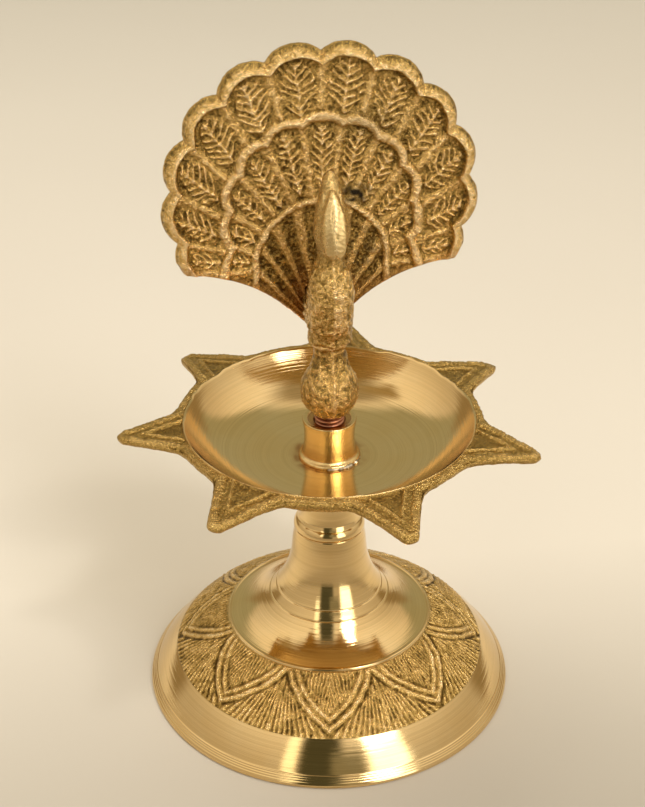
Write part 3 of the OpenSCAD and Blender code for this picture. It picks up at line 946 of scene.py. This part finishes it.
def fan_relief(x, z, rim):
    """Height of the front over the web, brightness, soot and rust; rim is how far in a point lies."""
    about = np.arctan2(x, z - FAN_Z)
    edge = scallop(about, LOBE_PITCH, NOTCH_R, LOBE_RISE) - np.hypot(x, z - FAN_Z)
    about = np.arctan2(x, z - MIDDLE_Z)
    middle = np.hypot(x, np.maximum(z - MIDDLE_Z, -9)) - scallop(about, MIDDLE_PITCH, MIDDLE_R, 1.7, 0.5)
    middle = middle - 0.12 * np.maximum(MIDDLE_Z - z, 0)
    inner = np.hypot(x, np.maximum(z - INNER_Z, 0)) - INNER_R
    wave = 0.3 * noise(x, z, 0, 4, 62) + 0.12 * noise(x, z, 0, 1.6, 70)
    edge, middle, inner = edge + wave, middle + wave, inner + wave

    rim_roll = np.clip(edge / 2.6, 0, 1) ** 0.55 * (1 - smooth(2.5, 3.5, edge))
    middle_roll = dome(-middle, MIDDLE_WIDTH / 2, MIDDLE_WIDTH / 2)
    inner_roll = dome(-inner, INNER_WIDTH / 2, INNER_WIDTH / 2)
    outer, outer_tone = feather_ring(x, z, OUTER_NOTCHES, middle, edge - RIM_WIDTH)
    second, second_tone = feather_ring(x, z, MIDDLE_NOTCHES, inner, -middle - MIDDLE_WIDTH)
    rays = smooth(-0.4, 0.9, np.cos(np.arctan2(x, z - RAYS_Z) * RAYS + 0.5 * noise(x, z, 0, 4, 63)))
    relief = np.where(middle > 0, outer, np.where(inner > 0, second, 0.12 + 0.62 * rays))
    tone = 0.1 + np.where(middle > 0, outer_tone, np.where(inner > 0, second_tone, 0.45 * rays))
    relief = np.where(edge < RIM_WIDTH, 1.75 * rim_roll + 0.05, relief)
    relief = np.where((middle < 0) & (middle > -0.1 - MIDDLE_WIDTH), 0.25 + 1.2 * middle_roll, relief)
    relief = np.where((inner < 0) & (inner > -0.1 - INNER_WIDTH), 0.25 + 1.0 * inner_roll, relief)
    # The rolled ridges painted brighter, like the crests of the feathers and rays above: partly wear,
    # partly painted highlight
    ridge_tone = np.maximum(np.maximum(rim_roll, 1.05 * middle_roll), 0.95 * inner_roll)
    coarse, fine = noise(x, z, 0, 1.1, 64), noise(x, z, 0, 0.55, 65)
    relief = relief + (1 - 0.5 * rim_roll) * (0.15 * coarse + 0.13 * fine)
    tone = np.maximum(tone, 0.86 * ridge_tone) + 0.08 * coarse + 0.22 * fine
    # A black patch to the right of the head, and fainter soot below it and on the outer feathers
    soot = 1.8 * bump(x, 8.3, 3.1) * bump(z, 139.4, 2.1) * (0.6 + 0.8 * coarse)
    soot = soot + 0.45 * bump(x, 10, 5) * bump(z, 124, 7) * (coarse > 0.1)
    soot = soot + 0.25 * bump(x, 12, 8) * bump(z, 158, 4)
    rust = bump(np.abs(x), 5, 2.8) * bump(z, 113, 7) + 0.5 * (1 - smooth(1, 7, rim)) * (z < 122)
    return relief, tone, np.clip(soot, 0, 1), np.clip(rust, 0, 1)


def make_fan(material):
    outline = fan_outline(0.25)
    columns = len(outline)
    centre = np.array([0, PIVOT_Z])
    spokes = outline - centre
    length = np.hypot(*spokes.T)
    outward = spokes / length[:, None]
    # The lower edges have no rolled rim between the root and the corners
    bare = (outline[:, 1] < CORNER[1] + 0.3) & (np.abs(outline[:, 0]) < CORNER[0] - 0.7)
    rows, tone, soot, rust = [], [], [], []

    def row(flat, y, values):
        rows.append(np.stack([flat[:, 0], y, flat[:, 1]], 1))
        for column, numbers in zip((tone, soot, rust), values):
            column.append(np.broadcast_to(numbers, columns))

    def sway(flat):
        """The slight warp of the whole casting."""
        return 0.3 * noise(*flat.T, 0, 16, 66)

    first_share = 0.004
    for share in np.linspace(first_share, 1, 200):
        flat = centre + spokes * share
        rim = (1 - share) * length
        relief, *values = fan_relief(*flat.T, rim)
        relief = relief + (0.75 - relief) * 0.9 * (1 - smooth(0, 3.5, rim)) * bare
        relief = relief * smooth(0, 0.9, rim + 0.12) - 0.35 * (1 - smooth(0, 0.5, rim))
        row(flat, WEB_FRONT - relief + sway(flat), values)
    for drop, out in ((0.7, 0.18), (1.1, 0.22), (1.5, 0.15), (1.85, -0.15)):
        flat = outline + outward * out
        flat = flat + outward * (0.15 * noise(*flat.T, drop * 2, 0.9, 67))[:, None]
        row(flat, WEB_FRONT + drop + sway(flat), (0.5, 0, 0))
    for share in np.linspace(0.985, first_share, 60):
        flat = centre + spokes * share
        grain = 0.1 * noise(*flat.T, 0, 1.2, 68) + 0.08 * noise(*flat.T, 0, 3, 69)
        row(flat, FAN_BACK - 0.15 + grain + sway(flat), (0.42 + grain, 0, 0))
    high, soot, rust = (np.concatenate(column) for column in (tone, soot, rust))
    values = {"high": high, "soot": soot, "rust": rust, "pale": 0 * high}
    faces = ring_faces(len(rows), columns, close_rows=True)
    obj = mesh_object("tail_fan", np.concatenate(rows), faces, values)
    return add_piece(obj, "peacock", "cast_brass", material, "peacock_tail")


# ---------------------------------------------------------------- scene

# Where the floor's tones begin and end along Y, in metres, and the tones by their share of that way:
# painted light falloff, brightest just behind the lamp's axis and darker further back, with painted shade
# on the floor in front of the lamp, which the brass mirrors
FLOOR_FRONT, FLOOR_BACK = -0.25, 0.85
FLOOR_FALLOFF_TONES = (
    (0.1, (0.36, 0.32, 0.26)),
    (0.27, (0.78, 0.725, 0.64)),
    (0.45, (0.70, 0.65, 0.575)),
    (0.85, (0.52, 0.485, 0.42)),
)
# The walls brighten between these elevations in degrees
WALL_LOW, WALL_HIGH = 8, 58
LOW_TINT, HIGH_TINT = (0.60, 0.51, 0.375), (1.12, 1.0, 0.82)
ALL_ROUND = (0, 360, 1)
# What the brass mirrors, each row laid over the ones before it: azimuth from the camera and elevation,
# each as its middle, half width and soft edge in degrees, and the colour. What lies behind the lamp has
# two rows, as azimuths end at 180 degrees. The last three rows are the window, dimmer in its lower part,
# and a narrow bright strip to the left of the camera.
ROOM = (
    (ALL_ROUND, (90, 18, 14), (0.40, 0.32, 0.20)),
    ((180, 42, 9), (32, 20, 14), (0.42, 0.40, 0.27)),
    ((-180, 42, 9), (32, 20, 14), (0.42, 0.40, 0.27)),
    ((128, 12, 12), (2, 9, 7), (0.34, 0.25, 0.13)),
    ((-128, 12, 12), (2, 9, 7), (0.34, 0.25, 0.13)),
    ((-5, 11, 7), (22, 42, 8), (0.09, 0.085, 0.05)),
    ((50, 16, 8), (78, 9, 6), (0.40, 0.28, 0.13)),
    ((-101, 14, 8), (67, 7, 6), (0.42, 0.30, 0.14)),
    ((12, 8, 5), (26, 9, 5), (0.30, 0.27, 0.18)),
    ((38, 10, 4), (20, 16, 4), (3.2, 3.1, 2.8)),
    ((38, 10, 3), (50, 10, 4), (9.0, 8.8, 8.6)),
    ((-25, 2.5, 3), (40, 18, 6), (1.9, 1.8, 1.5)),
)


def make_floor():
    mesh = bpy.data.meshes.new("floor")
    half = 12.0
    corners = [(-half, -half, 0), (half, -half, 0), (half, half, 0), (-half, half, 0)]
    mesh.from_pydata(corners, [], [(0, 1, 2, 3)])
    floor = bpy.data.objects.new("floor", mesh)
    bpy.context.scene.collection.objects.link(floor)
    s = Shader("floor_paper")
    s.main.inputs["Metallic"].default_value = 0
    s.main.inputs["Roughness"].default_value = 0.85
    back = s.split(s.place())[1]
    # The floor's colour carries the painted light falloff and painted shade along Y
    painted_falloff = s.ramp(s.range(back, FLOOR_FRONT, FLOOR_BACK, 0, 1), *FLOOR_FALLOFF_TONES)
    cloud = s.range(s.noise(2.5), 0.3, 0.7, 0, 0.1)
    s.join(s.mix(cloud, painted_falloff, FLOOR_FALLOFF_TONES[0][1]), s.main.inputs["Base Color"])
    floor.data.materials.append(s.material)


def make_world():
    """Warm pale surroundings, with a tall bright window to the right of the camera and darker things."""
    world = bpy.data.worlds.new("studio")
    bpy.context.scene.world = world
    world.use_nodes = True
    w = Nodes(world.node_tree)
    x, y, z = w.split(w.node("ShaderNodeTexCoord").outputs["Generated"])
    azimuth = w.times(w.math("ARCTAN2", x, w.times(y, -1.0)), 180 / math.pi)
    rise = w.times(w.math("ARCSINE", z), 180 / math.pi)

    def near(value, middle, half, soft):
        """1 within half of the middle, falling to 0 over soft."""
        off = w.math("ABSOLUTE", w.math("SUBTRACT", value, middle))
        return w.range(off, half, half + soft, 1, 0, "SMOOTHSTEP")

    colour = w.mix(w.range(rise, WALL_LOW, WALL_HIGH, 0, 1, "SMOOTHSTEP"), LOW_TINT, HIGH_TINT)
    for (middle, half, soft), elevation, tint in ROOM:
        mask = w.times(near(azimuth, middle - CAMERA_YAW, half, soft), near(rise, *elevation))
        colour = w.mix(mask, colour, tint)
    back = w.node("ShaderNodeBackground")
    w.join(colour, back.inputs["Color"])
    w.join(back.outputs[0], w.node("ShaderNodeOutputWorld").inputs["Surface"])


def area_light(name, place, target, size, power, tint, shows):
    """A square light in metres and watts; it shows in the brass or only lights the lamp."""
    data = bpy.data.lights.new(name, "AREA")
    data.shape = "SQUARE"
    data.size = size
    data.energy = power
    data.color = tint
    light = bpy.data.objects.new(name, data)
    light.location = place
    light.rotation_euler = (Vector(target) - Vector(place)).to_track_quat("-Z", "Y").to_euler()
    light.visible_glossy = shows
    bpy.context.scene.collection.objects.link(light)


make_camera()
make_floor()
make_world()
area_light("back_light", (-0.25, 0.55, 1.0), (0, 0.1, 0), 0.7, 4.0, (1.0, 0.95, 0.86), False)
area_light("key_light", (0.42, -0.55, 1.25), (0, 0, 0.1), 0.11, 1.9, (1.0, 0.96, 0.88), True)
bpy.context.scene.view_settings.view_transform = "Standard"

lathe_brass = turned_and_cast_brass("turned_and_cast_brass")
sand_brass = cast_brass("sand_cast_brass")
thread_copper = copper_thread("copper_thread")
solder = plain_metal("solder", (0.66, 0.60, 0.48), (0.35, 0.28, 0.18), 0.25)
rivet_metal = plain_metal("rivet_brass", (0.62, 0.45, 0.2), (0.38, 0.25, 0.1), 0.35)

make_foot(lathe_brass)
make_dish(lathe_brass)
make_collar(lathe_brass)
make_solder(solder)
make_thread("dish_thread", "lower_stud", "stem_stud", 49.0, 70.6, thread_copper)
make_thread("finial_thread", "upper_stud", "finial_stud", 71.2, 94.0, thread_copper)
make_bird(sand_brass)
make_fan(sand_brass)
rivet = frame["nodes"]["tail_rivet"]
rivet.data.materials.clear()
rivet.data.materials.append(rivet_metal)
